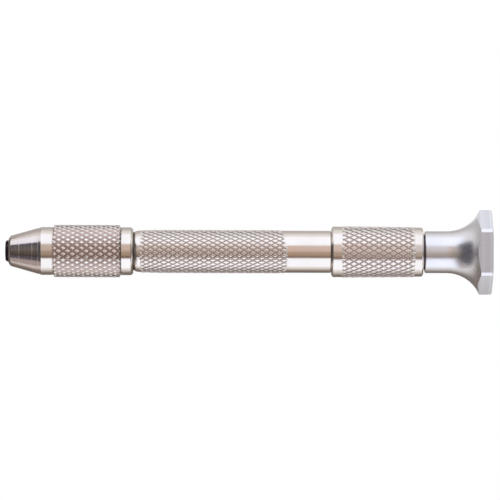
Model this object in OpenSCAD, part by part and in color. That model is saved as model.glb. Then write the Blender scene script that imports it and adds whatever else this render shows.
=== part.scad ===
// Pin vise with a reversible collet, a hollow handle and a free-turning palm head.
// The axis is X. The mouth of the collet is the origin, and the palm head is at +X.
// +Z is up when the vise lies on a flat of its head.

/* [Chuck nut] */
// How far the tips of the collet stand out of the nut
tip_proud = 0.7; // [0.3:0.1:1.5]
// Outer diameter of the flat ring around the mouth of the nose
nose_face_d = 5.6; // [5.4:0.1:6.4]
// Length of the steep chamfer behind that ring
nose_chamfer = 0.45; // [0.2:0.05:1]
// Diameter of the small end of the nose cone
nose_d = 6.75; // [6.5:0.05:8]
// Half angle of the nose cone, and of the closing cone inside it
cone_angle = 15.75; // [13:0.25:18]
// Diameter of the plain lands at each end of the nut's knurl
nut_d = 10.65; // [10.2:0.05:12]
// Diameter over the crests of the nut's knurl
nut_knurl_d = 11.67; // [10.9:0.01:13]
// Length of the plain land in front of the nut's knurl
nut_front_land = 2.35; // [1:0.05:4]
// Length of the nut's knurl
nut_knurl_len = 15.35; // [12:0.05:20]
// Length of the plain land behind the nut's knurl
nut_rear_land = 2.55; // [1:0.05:4]
// Diamonds around the nut's knurl
nut_knurl_count = 28; // [20:1:40]
// Rows of diamonds along the nut's knurl, each half a diamond on from the last
nut_knurl_rows = 14; // [8:1:24]
// Depth of the knurl's grooves under the nut's lands
nut_groove_depth = 0.1; // [0.05:0.01:0.3]
// Width of the plain groove at each end of the nut's knurl
nut_relief_w = 0.15; // [0.05:0.05:0.4]
// Length of the slope at each end of the nut's knurl, with that groove
nut_knurl_slope = 0.5; // [0.45:0.05:1]
// Chamfer on the outer edges of the knurled pieces
edge = 0.25; // [0.1:0.05:0.4]

/* [Collet] */
// Length of a double-ended collet
collet_len = 30; // [27:0.5:33]
// Diameter of the collet between its two cones
collet_d = 6.2; // [5.8:0.1:6.3]
// Diameter of the collet at its tips
collet_tip_d = 4.5; // [4.2:0.05:4.7]
// Diameter that the large jaws hold
jaw_bore_d = 2.4; // [1.6:0.1:2.8]
// Diameter that the small jaws hold
small_jaw_bore_d = 0.8; // [0.6:0.1:1.4]
// Diameter that the spare collet's large jaws hold
spare_bore_d = 3.2; // [1.4:0.1:3.3]
// Length of bore that grips, at each end
grip_len = 6; // [4:0.5:8]
// Diameter of the relief bore between the two grips
relief_d = 3.6; // [3.4:0.1:4]
// Length of the jaws, from the tip to the end of the slots
jaw_len = 11; // [9:0.5:12]
// Width of the slots between the jaws
slot_w = 0.4; // [0.2:0.05:0.6]
// Gap at the root of each moving jaw, where the real steel bends
flexure_gap = 0.04; // [0.03:0.01:0.08]
// Radial clearance between the jaws and the closing cones
cone_clear = 0.05; // [0.02:0.01:0.08]
// Radial room around the sprung jaws inside the nut
jaw_room = 0.5; // [0.4:0.05:0.6]

/* [Chuck spindle] */
// Outer diameter of the threads of the nut and of the tail cap
thread_d = 8.5; // [8.3:0.05:8.7]
// Pitch of those threads
pitch = 0.8; // [0.5:0.05:1]
// Radial clearance in a thread
thread_clear = 0.05; // [0.03:0.01:0.1]
// Length of the spindle's thread
spindle_thread_len = 9.8; // [6:0.1:12]
// Radial clearance of a collet in the spindle
collet_clear = 0.05; // [0.02:0.01:0.1]
// Diameter of the spindle's tail, which is pressed into the barrel
press_d = 7.6; // [7.4:0.05:7.9]
// Length of that tail
press_len = 8; // [6:0.25:12]
// Diameter of the hole behind the seat, for a long shank
shank_hole_d = 4; // [3.4:0.1:4.1]

/* [Handle] */
// Gap between the tightened nut and the barrel
nut_gap = 0.3; // [0.1:0.05:0.6]
// Diameter of the plain neck in front of the barrel's knurl
neck_d = 9.2; // [9:0.05:9.4]
// Length of that neck
neck_len = 1.2; // [0.6:0.1:3]
// Diameter of the plain band behind the barrel's knurl
body_d = 9.35; // [9.1:0.05:9.7]
// Diameter over the crests of the barrel's knurl
body_knurl_d = 9.62; // [9.45:0.01:10]
// Length of the barrel's knurl
body_knurl_len = 32.5; // [25:0.5:45]
// Length of the plain band
body_band_len = 9.9; // [6:0.1:20]
// Bore of the barrel, which keeps the spare collet
barrel_bore_d = 6.6; // [6.5:0.05:6.9]
// Length of the thread at the rear of the barrel
tail_thread_len = 6.8; // [5:0.1:9]
// Gap between the spindle and the spare collet
spare_gap = 0.3; // [0.1:0.1:1]

/* [Tail cap] */
// Gap between the tightened cap and the barrel's shoulder
cap_gap = 0.1; // [0.05:0.05:0.3]
// Diameter of the cap's front land
cap_front_d = 11.25; // [10.9:0.05:12]
// Diameter of the cap's rear land
cap_rear_d = 10.9; // [10.4:0.05:12]
// Radial height of the cap's knurl over its lands
cap_knurl_rise = 0.1; // [0.05:0.01:0.3]
// Length of the cap's front land
cap_front_land = 2.25; // [1:0.05:4]
// Length of the cap's knurl
cap_knurl_len = 16.35; // [15.5:0.05:22]
// Length of the cap's rear land
cap_rear_land = 1.8; // [1:0.05:4]
// Thickness of the cap's rear wall
cap_wall = 4.6; // [3:0.1:5.5]
// Diameter of the hollow in the cap behind the thread
cap_hollow_d = 7.4; // [7.3:0.05:8]

/* [Swivel] */
// Outer diameter of the bush
bush_d = 6; // [5.4:0.1:6.4]
// Diameter of the bush's flange
bush_flange_d = 7; // [6.6:0.1:7.2]
// Thickness of that flange
bush_flange_t = 0.6; // [0.4:0.05:1]
// Diameter of the screw's shoulder, which turns in the bush
shoulder_d = 4; // [3.6:0.1:4.6]
// Radial clearance of the shoulder in the bush and washers
run_clear = 0.04; // [0.02:0.01:0.08]
// End play at each running face
end_play = 0.02; // [0.01:0.01:0.05]
// Diameter of the bearing washer and the wave washer
washer_d = 6.6; // [6:0.1:7]
// Thickness of the bearing washer
washer_t = 0.5; // [0.3:0.05:0.8]
// Thickness of the wave washer's strip
wave_t = 0.25; // [0.15:0.05:0.4]
// Height of the wave washer, from trough to crest
wave_height = 0.6; // [0.5:0.05:0.8]
// Diameter of the screw's head
screw_head_d = 6.2; // [5.4:0.1:7]
// Length of the screw's head
screw_head_len = 1.6; // [1.2:0.1:2.2]
// Width of the screwdriver slot
driver_slot_w = 0.9; // [0.6:0.1:1.2]
// Depth of the screwdriver slot
driver_slot_depth = 0.8; // [0.4:0.1:1]
// Diameter of the screw's thread in the head
screw_thread_d = 3; // [2.5:0.1:3.4]
// Length of that thread
screw_thread_len = 6; // [4:0.25:8]
// Diameter of the thrust washer
thrust_d = 7.8; // [6:0.1:8.4]
// Thickness of the thrust washer
thrust_t = 0.8; // [0.5:0.05:1.2]

/* [Swivel head] */
// Gap between the cap and the head
head_gap = 0.36; // [0.2:0.02:0.48]
// Diameter of the head's stem
stem_d = 9.3; // [9:0.05:10]
// Length of the straight part of the stem
stem_len = 4.85; // [3:0.05:8]
// Radius of the hollow flare
flare_r = 8; // [7:0.1:12]
// Diameter over the rounded corners of the rim
rim_d = 18.84; // [16:0.02:21]
// Width across two opposite flats of the rim
rim_flats = 16.8; // [14.5:0.1:18.5]
// Length of the rim
rim_len = 2.7; // [1.5:0.1:6]
// Radius of the rim's rear edge
rim_round = 0.35; // [0.1:0.05:0.8]

/* [Hidden] */
$fn = 96;

jaws = 4;
flats = 6;
waves = 3;
sweep = 360;
// Reach of a cutting tool past the surface that it cuts
past = 1;
cone_rise = tan(cone_angle);

// Places along the axis, from the mouth of the collet backwards
nut_x0 = tip_proud;
cone_x0 = nut_x0 + nose_chamfer;
cone_x1 = cone_x0 + (nut_d - nose_d) / 2 / cone_rise;
nut_knurl_x0 = cone_x1 + nut_front_land;
nut_knurl_x1 = nut_knurl_x0 + nut_knurl_len;
nut_x1 = nut_knurl_x1 + nut_rear_land;
barrel_x0 = nut_x1 + nut_gap;
barrel_knurl_x0 = barrel_x0 + neck_len;
barrel_knurl_x1 = barrel_knurl_x0 + body_knurl_len;
shoulder_x = barrel_knurl_x1 + body_band_len;
barrel_x1 = shoulder_x + tail_thread_len;
cap_x0 = shoulder_x + cap_gap;
cap_knurl_x0 = cap_x0 + cap_front_land;
cap_knurl_x1 = cap_knurl_x0 + cap_knurl_len;
cap_x1 = cap_knurl_x1 + cap_rear_land;
wall_x0 = cap_x1 - cap_wall;
head_x0 = cap_x1 + head_gap;
spindle_x0 = barrel_x0 - spindle_thread_len;
spindle_x1 = barrel_x0 + press_len;

// The collet's cone, and the cones that close it
collet_cone_len = (collet_d - collet_tip_d) / 2 / cone_rise;
nut_mouth_d = collet_tip_d + 2 * (tip_proud * cone_rise + cone_clear);
nut_bore_d = collet_d + 2 * jaw_room;
seat_x0 = collet_len - collet_cone_len;
seat_tip_d = collet_tip_d + 2 * cone_clear;
seat_bore_d = collet_d + 2 * collet_clear;
spare_x0 = spindle_x1 + spare_gap;
thread_hole_d = thread_d + 2 * thread_clear;
nut_groove_d = nut_d - 2 * nut_groove_depth;
nut_core_d = nut_groove_d - 2 * edge;

// The swivel's stack, from the bush's flange forwards to the screw's head
flange_x0 = wall_x0 - bush_flange_t;
washer_x0 = flange_x0 - end_play - washer_t;
wave_x0 = washer_x0 - end_play - wave_height;
screw_head_x1 = wave_x0 - end_play;
thrust_x0 = cap_x1 + end_play;
pocket_x1 = thrust_x0 + thrust_t + end_play;
running_hole_d = shoulder_d + 2 * run_clear;

// The head's flare is a quarter hollow that ends where it meets the rim
flare_rise = (rim_d - stem_d) / 2;
flare_run = sqrt(pow(flare_r, 2) - pow(flare_r - flare_rise, 2));
flare_x0 = head_x0 + stem_len;
rim_x0 = flare_x0 + flare_run;
head_x1 = rim_x0 + rim_len;

// A piece turned on the axis, from its outline as [diameter, x] points
module turned(outline) {
    rotate([0, 90, 0])
        rotate_extrude()
            polygon([for (p = outline) [p[0] / 2, p[1]]]);
}

// A round bar along the axis, from x0 to x1
module bar(d, x0, x1) {
    translate([x0, 0, 0])
        rotate([0, 90, 0])
            cylinder(d = d, h = x1 - x0);
}

// A flat ring around the axis
module ring(outer_d, inner_d, x0, x1) {
    difference() {
        bar(outer_d, x0, x1);
        bar(inner_d, x0 - past, x1 + past);
    }
}

module chuck_nut() {
    color("tan")
        difference() {
            union() {
                turned([
                    [0, nut_x0], [nose_face_d, nut_x0], [nose_d, cone_x0], [nut_d, cone_x1],
                    [nut_d, nut_knurl_x0], [nut_core_d, nut_knurl_x0],
                    [nut_core_d, nut_knurl_x1], [nut_d, nut_knurl_x1],
                    [nut_d, nut_x1 - edge], [nut_d - 2 * edge, nut_x1], [0, nut_x1]
                ]);
                nut_knurl();
            }
            nut_bore();
        }
}

// The nut's diamond knurl. Crests and groove crossings take turns around each ring of points, and
// each ring is one step on from the last, so the grooves run between the crests on both slants.
module nut_knurl() {
    steps = 2 * nut_knurl_count;
    first_x = nut_knurl_x0 + nut_knurl_slope;
    row_x = (nut_knurl_len - 2 * nut_knurl_slope) / nut_knurl_rows;
    ring_x = [
        nut_knurl_x0 - edge, nut_knurl_x0 + nut_relief_w,
        for (i = [0 : nut_knurl_rows]) first_x + i * row_x,
        nut_knurl_x1 - nut_relief_w, nut_knurl_x1 + edge
    ];
    last = len(ring_x) - 1;
    points = [
        for (i = [0 : last]) for (j = [0 : steps - 1])
            let (crest = i > 1 && i < last - 1 && (i + j) % 2 == 1)
            let (r = (crest ? nut_knurl_d : nut_groove_d) / 2)
            [ring_x[i], r * cos(j * sweep / steps), r * sin(j * sweep / steps)]
    ];
    sides = [
        for (i = [0 : last - 1]) for (j = [0 : steps - 1])
            let (a = i * steps + j, b = i * steps + (j + 1) % steps)
            let (c = b + steps, d = a + steps)
            each (i + j) % 2 == 0 ? [[a, d, c], [a, c, b]] : [[a, d, b], [d, c, b]]
    ];
    front = [for (j = [0 : steps - 1]) j];
    rear = [for (j = [0 : steps - 1]) last * steps + steps - 1 - j];
    polyhedron(points, concat(sides, [front, rear]));
}

// The mouth, the closing cone, the room for the jaws and the thread
module nut_bore() {
    bore_x = nut_x0 + (nut_bore_d - nut_mouth_d) / 2 / cone_rise;
    thread_x = spindle_x0 - pitch;
    mouth_past = nut_mouth_d - 2 * past * cone_rise;
    turned([
        [0, nut_x0 - past], [mouth_past, nut_x0 - past], [nut_bore_d, bore_x],
        [nut_bore_d, thread_x], [thread_hole_d, thread_x], [thread_hole_d, nut_x1 - pitch / 2],
        [thread_hole_d + pitch / 2, nut_x1], [thread_hole_d + pitch / 2, nut_x1 + past],
        [0, nut_x1 + past]
    ]);
}

// A whole double-ended collet without its slots, with its large jaws at x = 0
module collet_blank(large_d) {
    difference() {
        turned([
            [0, 0], [collet_tip_d, 0], [collet_d, collet_cone_len],
            [collet_d, seat_x0], [collet_tip_d, collet_len], [0, collet_len]
        ]);
        bar(large_d, -past, grip_len);
        bar(relief_d, grip_len, collet_len - grip_len);
        bar(small_jaw_bore_d, collet_len - grip_len - past, collet_len + past);
    }
}

// The crossed saw cuts that part the jaws, from x0 to x1
module jaw_slots(x0, x1) {
    for (k = [0 : jaws / 2 - 1])
        rotate([(k + 1 / 2) * sweep / jaws, 0, 0])
            translate([x0, -slot_w / 2, -collet_d])
                cube([x1 - x0, slot_w, 2 * collet_d]);
}

// The rear saw cuts lie between the front ones
module rear_slots() {
    rotate([sweep / jaws / 2, 0, 0])
        jaw_slots(collet_len - jaw_len, collet_len + past);
}

module collet() {
    color("dimgray")
        difference() {
            collet_blank(jaw_bore_d);
            bar(2 * collet_d, -past, jaw_len);
            rear_slots();
        }
}

// One jaw is the quarter of the collet between two saw cuts
module collet_jaw(k) {
    color("dimgray")
        intersection() {
            collet_blank(jaw_bore_d);
            rotate([(k - 1 / 2) * sweep / jaws, 0, 0])
                translate([-past, slot_w / 2, slot_w / 2])
                    cube([past + jaw_len - flexure_gap, collet_d, collet_d]);
        }
}

module spare_collet() {
    color("gray")
        translate([spare_x0, 0, 0])
            difference() {
                collet_blank(spare_bore_d);
                jaw_slots(-past, jaw_len);
                rear_slots();
            }
}

module chuck_spindle() {
    color("silver")
        difference() {
            turned([
                [0, spindle_x0], [thread_d - pitch, spindle_x0],
                [thread_d, spindle_x0 + pitch / 2], [thread_d, barrel_x0],
                [press_d, barrel_x0], [press_d, spindle_x1], [0, spindle_x1]
            ]);
            turned([
                [0, spindle_x0 - past], [seat_bore_d, spindle_x0 - past],
                [seat_bore_d, seat_x0], [seat_tip_d, collet_len + cone_clear],
                [0, collet_len + cone_clear]
            ]);
            bar(shank_hole_d, collet_len, spindle_x1 + past);
        }
}

module handle_barrel() {
    color("tan")
        difference() {
            turned([
                [0, barrel_x0], [neck_d - edge, barrel_x0], [neck_d, barrel_x0 + edge / 2],
                [neck_d, barrel_knurl_x0 - edge], [body_knurl_d, barrel_knurl_x0],
                [body_knurl_d, barrel_knurl_x1], [body_d, barrel_knurl_x1 + edge],
                [body_d, shoulder_x - edge / 2], [body_d - edge, shoulder_x],
                [thread_d, shoulder_x], [thread_d, barrel_x1 - pitch / 2],
                [thread_d - pitch, barrel_x1], [0, barrel_x1]
            ]);
            bar(press_d, barrel_x0 - past, spindle_x1);
            bar(barrel_bore_d, spindle_x1 - past, barrel_x1 + past);
        }
}

// The cap tapers slightly, so its diameter is worked out at each place
function cap_d(x) = cap_front_d + (cap_rear_d - cap_front_d) * (x - cap_x0) / (cap_x1 - cap_x0);

module tail_cap() {
    knurl_up = 2 * cap_knurl_rise;
    thread_x = barrel_x1 + pitch;
    color("tan")
        difference() {
            turned([
                [0, cap_x0], [cap_d(cap_x0) - 2 * edge, cap_x0], [cap_d(cap_x0 + edge), cap_x0 + edge],
                [cap_d(cap_knurl_x0 - edge), cap_knurl_x0 - edge],
                [cap_d(cap_knurl_x0) + knurl_up, cap_knurl_x0],
                [cap_d(cap_knurl_x1) + knurl_up, cap_knurl_x1],
                [cap_d(cap_knurl_x1 + edge), cap_knurl_x1 + edge],
                [cap_d(cap_x1 - edge), cap_x1 - edge], [cap_rear_d - 2 * edge, cap_x1], [0, cap_x1]
            ]);
            bar(thread_hole_d, cap_x0 - past, thread_x);
            bar(cap_hollow_d, thread_x - past, wall_x0);
            bar(bush_d, wall_x0 - past, cap_x1 + past);
        }
}

module swivel_bush() {
    color("peru")
        difference() {
            union() {
                bar(bush_flange_d, flange_x0, wall_x0);
                bar(bush_d, wall_x0 - bush_flange_t / 2, cap_x1);
            }
            bar(running_hole_d, flange_x0 - past, cap_x1 + past);
        }
}

module bearing_washer() {
    color("goldenrod")
        ring(washer_d, running_hole_d, washer_x0, washer_x0 + washer_t);
}

// A strip ring bent into three waves, which is the part of a flat ring between two wavy faces
module wave_washer() {
    color("silver")
        difference() {
            ring(washer_d, running_hole_d, wave_x0, wave_x0 + wave_height);
            for (k = [0 : waves - 1]) {
                wave_cut(k * sweep / waves, wave_x0 + wave_t, 1);
                wave_cut((k + 1 / 2) * sweep / waves, wave_x0 + wave_height - wave_t, -1);
            }
        }
}

// A round cutter across the ring that hollows one face of the washer, centred on a crest
module wave_cut(angle, x, side) {
    depth = wave_height - wave_t;
    half_chord = washer_d / 2 * sin(sweep / waves / 4);
    cut_r = (pow(half_chord, 2) + pow(depth, 2)) / 2 / depth;
    rotate([angle, 0, 0])
        translate([x + side * cut_r, 0, 0])
            cylinder(r = cut_r, h = washer_d);
}

module swivel_screw() {
    color("silver")
        difference() {
            union() {
                bar(screw_head_d, screw_head_x1 - screw_head_len, screw_head_x1);
                bar(shoulder_d, screw_head_x1 - screw_head_len / 2, pocket_x1);
                bar(screw_thread_d, pocket_x1 - past, pocket_x1 + screw_thread_len);
            }
            translate([screw_head_x1 - screw_head_len - past, -screw_head_d, -driver_slot_w / 2])
                cube([past + driver_slot_depth, 2 * screw_head_d, driver_slot_w]);
        }
}

module thrust_washer() {
    color("silver")
        ring(thrust_d, running_hole_d, thrust_x0, thrust_x0 + thrust_t);
}

module swivel_head() {
    color("lightsteelblue")
        difference() {
            intersection() {
                head_turning();
                rotate([0, 90, 0])
                    rotate([0, 0, sweep / flats / 2])
                        cylinder(d = rim_flats / cos(sweep / flats / 2), h = head_x1 + past, $fn = flats);
            }
            bar(thrust_d + 2 * run_clear, head_x0 - past, pocket_x1);
            bar(screw_thread_d + 2 * thread_clear, pocket_x1 - past, pocket_x1 + screw_thread_len + pitch);
        }
}

// The head before its flats are milled
module head_turning() {
    rotate([0, 90, 0])
        rotate_extrude()
            union() {
                difference() {
                    polygon([
                        [0, head_x0], [stem_d / 2, head_x0], [stem_d / 2, flare_x0],
                        [rim_d / 2, flare_x0], [rim_d / 2, head_x1 - rim_round],
                        [rim_d / 2 - rim_round, head_x1], [0, head_x1]
                    ]);
                    translate([stem_d / 2 + flare_r, flare_x0])
                        circle(r = flare_r);
                }
                translate([rim_d / 2 - rim_round, head_x1 - rim_round])
                    circle(r = rim_round);
            }
}

chuck_nut();
collet();
collet_jaw(0);  // collet_jaw_1
collet_jaw(1);  // collet_jaw_2
collet_jaw(2);  // collet_jaw_3
collet_jaw(3);  // collet_jaw_4
chuck_spindle();
handle_barrel();
spare_collet();
tail_cap();
swivel_bush();
bearing_washer();
wave_washer();
swivel_screw();
thrust_washer();
swivel_head();
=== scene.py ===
# %% [markdown]
# A pin vise, turned and knurled
#
# A pin vise is a slim hand drill. A split collet holds the bit, a knurled nut closes the collet,
# a knurled hollow handle is rolled between the fingers, and a free-turning aluminium head rests in
# the palm. Nearly every surface is turned on one axis, so this lesson is about three things: turning
# outlines round an axis, raising a real diamond knurl on them, and lighting bare metal.
#
# The first cell loads the engineering model as a fixed frame. Every new piece is placed by it.

# %% Load the frame
import math

import bmesh
import bpy
from bmesh.types import BMEdge, BMVert
from mathutils import Matrix, Vector


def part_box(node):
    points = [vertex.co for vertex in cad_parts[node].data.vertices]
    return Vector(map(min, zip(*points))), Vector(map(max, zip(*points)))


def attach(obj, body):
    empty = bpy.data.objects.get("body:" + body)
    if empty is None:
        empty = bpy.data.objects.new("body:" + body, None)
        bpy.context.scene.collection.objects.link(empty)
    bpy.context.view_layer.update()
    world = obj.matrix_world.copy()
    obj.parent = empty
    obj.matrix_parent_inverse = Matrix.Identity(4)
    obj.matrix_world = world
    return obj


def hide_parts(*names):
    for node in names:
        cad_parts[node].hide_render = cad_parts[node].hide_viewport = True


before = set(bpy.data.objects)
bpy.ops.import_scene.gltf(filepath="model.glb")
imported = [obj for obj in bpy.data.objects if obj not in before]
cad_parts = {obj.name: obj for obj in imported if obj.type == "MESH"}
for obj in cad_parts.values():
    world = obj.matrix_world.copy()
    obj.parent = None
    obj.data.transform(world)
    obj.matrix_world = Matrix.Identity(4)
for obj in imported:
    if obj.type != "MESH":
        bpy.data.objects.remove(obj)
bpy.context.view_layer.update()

# %% [markdown]
# Millimetres for the workshop, metres for the scene
#
# A turner thinks in millimetres, so the pieces are made in millimetres and scaled to metres when
# they are finished. The ends of each node come from the frame, so that no piece can drift from the
# part that it dresses.

# %% Units, and the ends of each node
MM = 0.001
AXIS = Vector((1, 0, 0))


def ends(node):
    """Where a node starts and ends along the axis, in mm."""
    low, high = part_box(node)
    return low.x / MM, high.x / MM


nut_x0, nut_x1 = ends("chuck_nut")
spindle_x0, spindle_x1 = ends("chuck_spindle")
barrel_x0, barrel_x1 = ends("handle_barrel")
cap_x0, cap_x1 = ends("tail_cap")
head_x0, head_x1 = ends("swivel_head")
print("the barrel runs from %.2f to %.2f mm" % (barrel_x0, barrel_x1))

# %% [markdown]
# Turning an outline
#
# A lathe piece is one outline spun round the axis. The operator `spin` does just that, and with
# `use_merge` its last step closes on its first. An outline that ends on the axis leaves a pile of
# points there, so doubles are merged before the normals are worked out.
#
# Smooth shading averages the slopes on both sides of a point. On a long straight line next to a
# corner that would bend the reflections of the whole line, so each long line gets one more point
# close to either end. The bend then stays in the last 0.08 mm, as on a real, worn corner.

# %% Turning
SEGMENTS = 144
CLOSE = 0.0005
NEAR = 10 * CLOSE
HOLD = 0.08
LONG = 0.8


def at_radius(vert, x, radius):
    """Moves a point to a place along the axis and a radius, at its own angle."""
    angle = math.atan2(vert.co.z, vert.co.y)
    vert.co = (x, radius * math.cos(angle), radius * math.sin(angle))


def radius_of(vert):
    """How far a point lies from the axis."""
    return math.hypot(vert.co.y, vert.co.z)


def held(outline):
    """The outline with a point near both ends of each long line."""
    points = [outline[0]]
    for start, end in zip(outline, outline[1:]):
        length = math.dist(start, end)
        if length > LONG:
            points += [tuple(a + (b - a) * share for a, b in zip(start, end))
                       for share in (HOLD / length, 1 - HOLD / length)]
        points.append(end)
    return points


def turned(outline):
    """A solid turning from (x, radius) points. The outline is closed, or starts and ends on the axis."""
    bm = bmesh.new()
    verts = [bm.verts.new((x, radius, 0)) for x, radius in held(outline)]
    edges = [bm.edges.new(pair) for pair in zip(verts, verts[1:])]
    bmesh.ops.spin(bm, geom=verts + edges, cent=(0, 0, 0), axis=AXIS, angle=2 * math.pi,
                   steps=SEGMENTS, use_merge=True)
    bmesh.ops.remove_doubles(bm, verts=bm.verts, dist=CLOSE)
    bmesh.ops.recalc_face_normals(bm, faces=bm.faces)
    return bm


# %% [markdown]
# Going on from an open rim
#
# The knurled pieces start as a knurled sleeve, open at both ends. Their plain lands, ends and bores
# are turned on from its two rims: the rim is extruded and each copy is moved to the next point of
# the outline. When both rims meet inside the bore they are bridged, and the piece is one closed skin.

# %% Turning on from a rim
def grown_rim(bm, rim):
    """Extrudes an open rim and gives the new rim's edges and points."""
    grown = bmesh.ops.extrude_edge_only(bm, edges=rim)["geom"]
    verts = [part for part in grown if isinstance(part, BMVert)]
    edges = [part for part in grown if isinstance(part, BMEdge) and part.is_boundary]
    return edges, verts


def turn_on(bm, rim, outline):
    """Adds a ring for each (x, radius) point, starting from an open rim."""
    first = rim[0].verts[0]
    for x, radius in held([(first.co.x, radius_of(first))] + outline)[1:]:
        rim, verts = grown_rim(bm, rim)
        for vert in verts:
            at_radius(vert, x, radius)
    return rim


def steps(start, end, count):
    """Evenly spaced places from start to end, both included."""
    return [start + (end - start) * i / count for i in range(count + 1)]


# %% [markdown]
# A diamond knurl
#
# A knurl is rolled in by two hardened wheels with slanting teeth, one of each hand. Their grooves
# cross, and what stands between them is a ring of diamonds. The same lattice comes from a plain grid
# of quads round the axis: poking every quad puts a point in its middle, and dissolving the edges of
# the old grid leaves only the crossing diagonals. Each diamond is then inset, its top is lifted to
# the crest, and its foot is sunk to the groove. A bump map would be less work, but it leaves the
# outline smooth, and here the outline is where the knurl shows best.

# %% The lattice of diamonds
ACROSS = Matrix.Rotation(math.pi / 2, 3, "Y")
SPARE_ROWS = 0.6


def circle_across(bm, x, radius, count):
    """A circle of points round the axis. The first point lies towards +Y."""
    verts = bmesh.ops.create_circle(bm, segments=count, radius=radius)["verts"]
    bmesh.ops.rotate(bm, verts=verts, cent=(0, 0, 0), matrix=ACROSS)
    bmesh.ops.translate(bm, verts=verts, vec=AXIS * x)
    return list({edge for vert in verts for edge in vert.link_edges})


def diamond_lattice(count, row, anchor, x0, x1):
    """An open sleeve of diamonds, count of them round it, that reaches past x0 and x1.

    A row of diamonds has its middle at the anchor, and the next rows lie half a diamond on.
    """
    bm = bmesh.new()
    start = anchor - 2 * row * math.ceil((anchor - x0) / (2 * row) + SPARE_ROWS)
    rim = circle_across(bm, start, 1, count)
    for _ in range(math.ceil((x1 - start) / (2 * row) + SPARE_ROWS)):
        rim, verts = grown_rim(bm, rim)
        bmesh.ops.translate(bm, verts=verts, vec=AXIS * 2 * row)
    old_grid = [edge for edge in bm.edges if not edge.is_boundary]
    bmesh.ops.poke(bm, faces=bm.faces)
    bmesh.ops.dissolve_edges(bm, edges=old_grid)
    return bm


# %% [markdown]
# The ends of a knurl
#
# The sleeve is made too long and is then cut to length, as a band of knurl is. Next to the cut the
# pattern is not at full height: the nut's is chamfered down into a narrow plain groove, and the other
# two run out softly where the wheels lift. Each end is a plane that cuts the sleeve a few more times,
# a little further in each time, and the height follows a short table between those cuts. The plane
# may lean, because the handle's wheels left the work a little askew.

# %% Cutting the ends
RIM_STEP = 0.25


def between(table, place):
    """Reads a share off a line through (place, share) pairs."""
    for (a, low), (b, high) in zip(table, table[1:]):
        if place < b:
            return low + (high - low) * max(place - a, 0) / (b - a)
    return table[-1][1]


def cut_ends(bm, planes, run_out):
    """Cuts the sleeve off at both planes, and through at each place of the run-out."""
    for place, outwards in planes:
        for inwards, _ in run_out:
            everything = bm.verts[:] + bm.edges[:] + bm.faces[:]
            bmesh.ops.bisect_plane(bm, geom=everything, dist=CLOSE, plane_co=place - outwards * inwards,
                                   plane_no=outwards, clear_outer=inwards == 0)


def true_rim(bm, rim, x, radius):
    """Joins an uneven rim to a true circle, and gives the circle's edges."""
    circle = circle_across(bm, x, radius, SEGMENTS)
    bmesh.ops.bridge_loops(bm, edges=rim + circle)
    return circle


# %% [markdown]
# From lattice to knurl
#
# Every edge of the pattern gets a small bevel, because rolled and plated metal has no knife edges,
# and because a bevel is what catches the light. Each top is then poked and its middle raised a
# little. A diamond that fingers have rubbed is a small dome, and holds a bright point of its own
# where a flat top would flash all at once.

# %% Raising the diamonds
TOP_REACH = 0.01


def raise_diamonds(bm, land, rise, depth, wall, dome, edge_round):
    """Gives each diamond of the lattice a sloping side, a rounded edge and a domed top."""
    diamonds = [face for face in bm.faces if len(face.verts) == 4]
    for vert in bm.verts:
        at_radius(vert, vert.co.x, land(vert.co.x))
    bmesh.ops.inset_individual(bm, faces=diamonds, thickness=wall, use_even_offset=True)
    tops = {vert for face in diamonds for vert in face.verts}
    for vert in bm.verts:
        at_radius(vert, vert.co.x, land(vert.co.x) + (rise if vert in tops else -depth))
    inner = [edge for edge in bm.edges if not edge.is_boundary]
    bmesh.ops.bevel(bm, geom=inner, offset=edge_round, segments=1, profile=0.5, affect="EDGES",
                    material=-1, clamp_overlap=True)
    tops = [face for face in bm.faces
            if min(radius_of(vert) - land(vert.co.x) for vert in face.verts) > rise - TOP_REACH]
    for vert in bmesh.ops.poke(bm, faces=tops)["verts"]:
        at_radius(vert, vert.co.x, land(vert.co.x) + rise + dome)


# %% [markdown]
# A whole knurled sleeve
#
# Last, the ends are cut and the height follows the run-out. Each point stores how deep in a groove it
# lies, so that a material can paint shade into the grooves, darker further down. The cut rims are
# uneven rows of points, so each is joined to a true circle for the plain lands.

# %% A knurled sleeve
RIM_GAP = 0.03
RIM_CUTS = 3


def smooth_step(value):
    """Eases a share from 0 to 1, without a kink at either end."""
    value = min(max(value, 0), 1)
    return value * value * (3 - 2 * value)


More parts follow.
